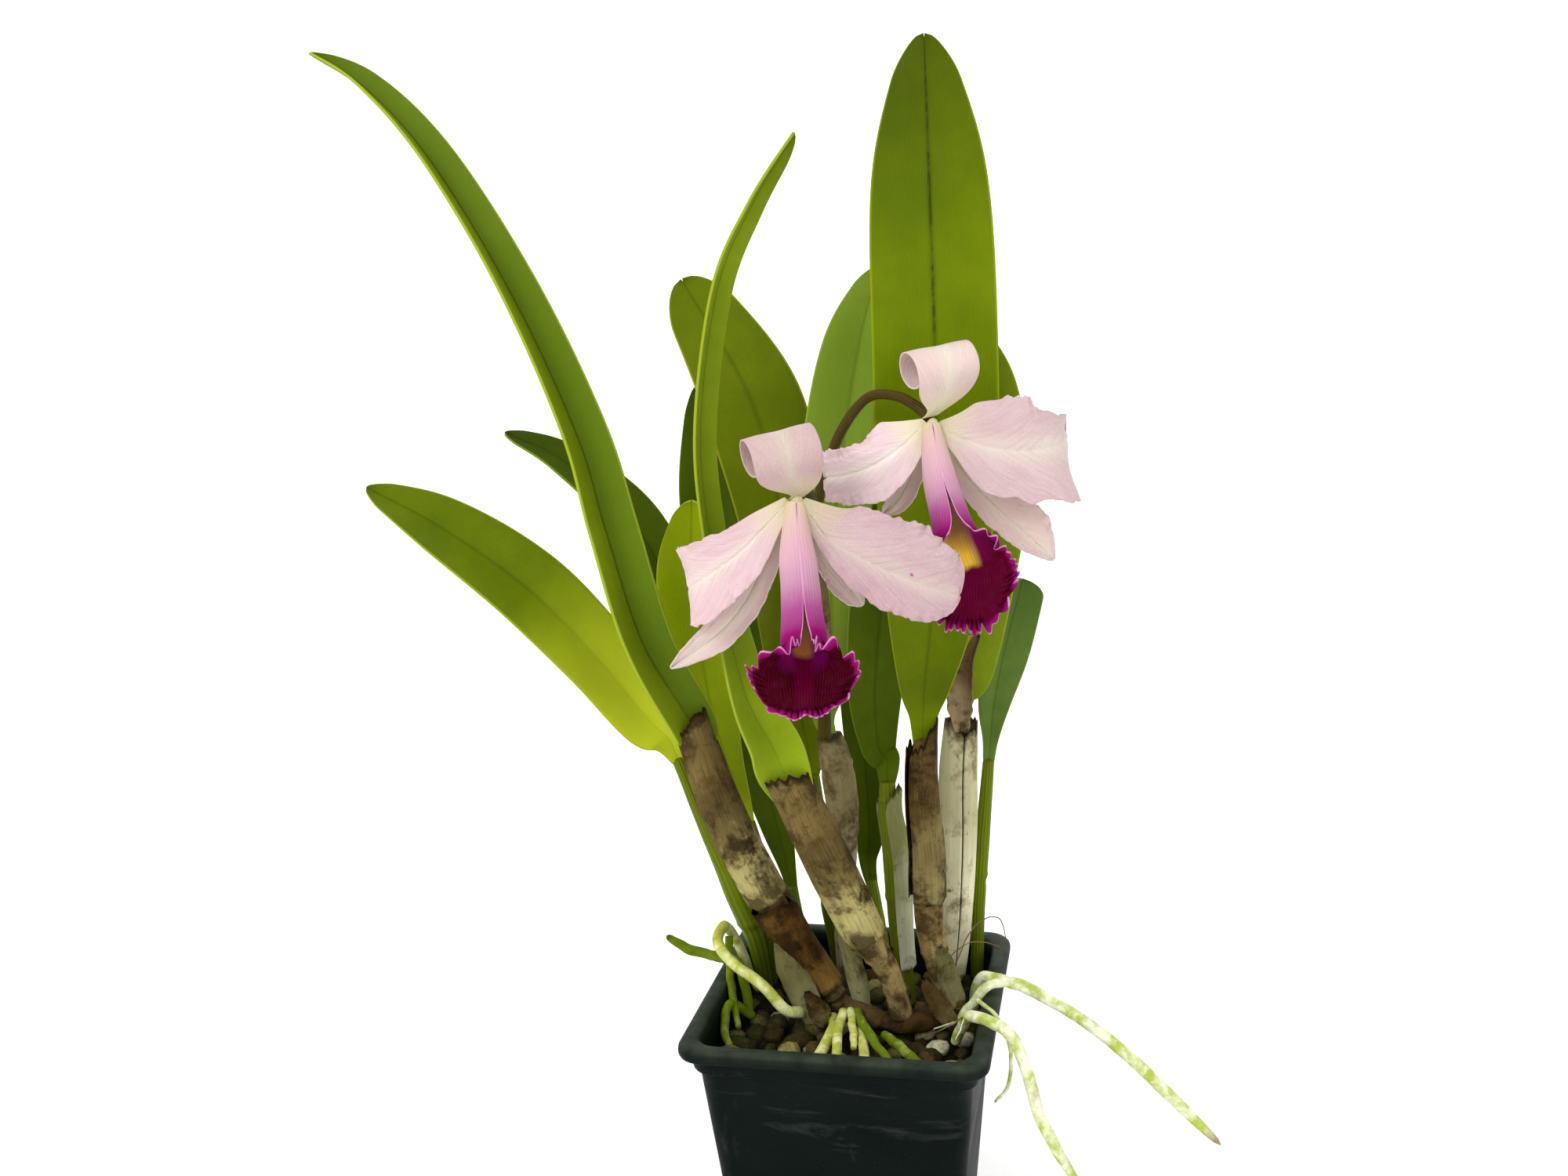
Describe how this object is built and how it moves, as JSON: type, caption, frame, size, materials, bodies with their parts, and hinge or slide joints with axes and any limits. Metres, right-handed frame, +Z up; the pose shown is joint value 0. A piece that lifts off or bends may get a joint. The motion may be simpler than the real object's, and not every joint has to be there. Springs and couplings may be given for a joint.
{
  "type": "cattleya orchid in a pot",
  "caption": "Cattleya orchid in flower in a square dark nursery pot: strappy leaves on cane-like pseudobulbs, pale pink flowers with frilled magenta lips, roots over the rim.",
  "frame": {"origin": "centre of the pot's underside, on the surface it stands on", "axes": "+Z up, the pot's sides along X and Y, the flowers facing -Y and the longest leaf reaching towards -X"},
  "size_m": [0.3473, 0.1587, 0.4968],
  "materials": {
    "pot_plastic": "moulded, dark green-black, faintly scuffed",
    "bark_medium": "bark and pumice pieces",
    "root_skin": "yellow-green with whitish velamen",
    "pseudobulb_green": "smooth, waxy",
    "rhizome_brown": "rough, ringed",
    "brown_sheath": "dry papery, brown and tan with dark blotches",
    "silver_sheath": "dry papery, silvery grey",
    "leaf_green": "leathery, satin, paler underneath",
    "petal_pink": "soft, finely veined",
    "sepal_pink": "soft, finely veined",
    "lip_magenta": "velvety, frilled",
    "column_cream": "waxy",
    "stalk_olive": "smooth, brownish olive",
    "dry_spathe": "dry papery"
  },
  "bodies": {
    "root": {"back_pseudobulb": "pseudobulb_green", "back_right_pseudobulb": "pseudobulb_green", "broad_left_leaf": "leaf_green", "centre_pseudobulb": "pseudobulb_green", "centre_silver_sheath": "silver_sheath", "dark_back_leaf": "leaf_green", "dark_back_pseudobulb": "pseudobulb_green", "dry_bract": "dry_spathe", "far_left_pseudobulb": "pseudobulb_green", "flower_spathe": "dry_spathe", "flower_stalk": "stalk_olive", "flowering_pseudobulb": "pseudobulb_green", "front_centre_pseudobulb": "pseudobulb_green", "front_centre_sheath": "brown_sheath", "front_flower_column": "column_cream", "front_flower_dorsal_sepal": "sepal_pink", "front_flower_left_petal": "petal_pink", "front_flower_left_sepal": "sepal_pink", "front_flower_lip": "lip_magenta", "front_flower_right_petal": "petal_pink", "front_flower_right_sepal": "sepal_pink", "front_left_lower_sheath": "brown_sheath", "front_left_pseudobulb": "pseudobulb_green", "front_left_root": "root_skin", "front_left_upper_sheath": "brown_sheath", "front_middle_root": "root_skin", "front_right_root": "root_skin", "left_looping_root": "root_skin", "left_pseudobulb": "pseudobulb_green", "left_reaching_root": "root_skin", "long_left_leaf": "leaf_green", "low_centre_leaf": "leaf_green", "low_right_leaf": "leaf_green", "narrow_back_leaf": "leaf_green", "notched_back_leaf": "leaf_green", "pot": "pot_plastic", "potting_medium": "bark_medium", "rhizome": "rhizome_brown", "right_back_leaf": "leaf_green", "right_flower_column": "column_cream", "right_flower_dorsal_sepal": "sepal_pink", "right_flower_left_petal": "petal_pink", "right_flower_left_sepal": "sepal_pink", "right_flower_lip": "lip_magenta", "right_flower_right_petal": "petal_pink", "right_flower_right_sepal": "sepal_pink", "right_hanging_root": "root_skin", "right_long_root": "root_skin", "right_pseudobulb": "pseudobulb_green", "right_sheath": "silver_sheath", "short_back_pseudobulb": "pseudobulb_green", "silvery_pseudobulb": "pseudobulb_green", "silvery_sheath": "silver_sheath", "slender_right_pseudobulb": "pseudobulb_green", "small_left_leaf": "leaf_green", "speckled_short_leaf": "leaf_green", "tall_back_leaf": "leaf_green", "tall_leaf": "leaf_green", "twisted_narrow_leaf": "leaf_green"}
  },
  "joints": []
}
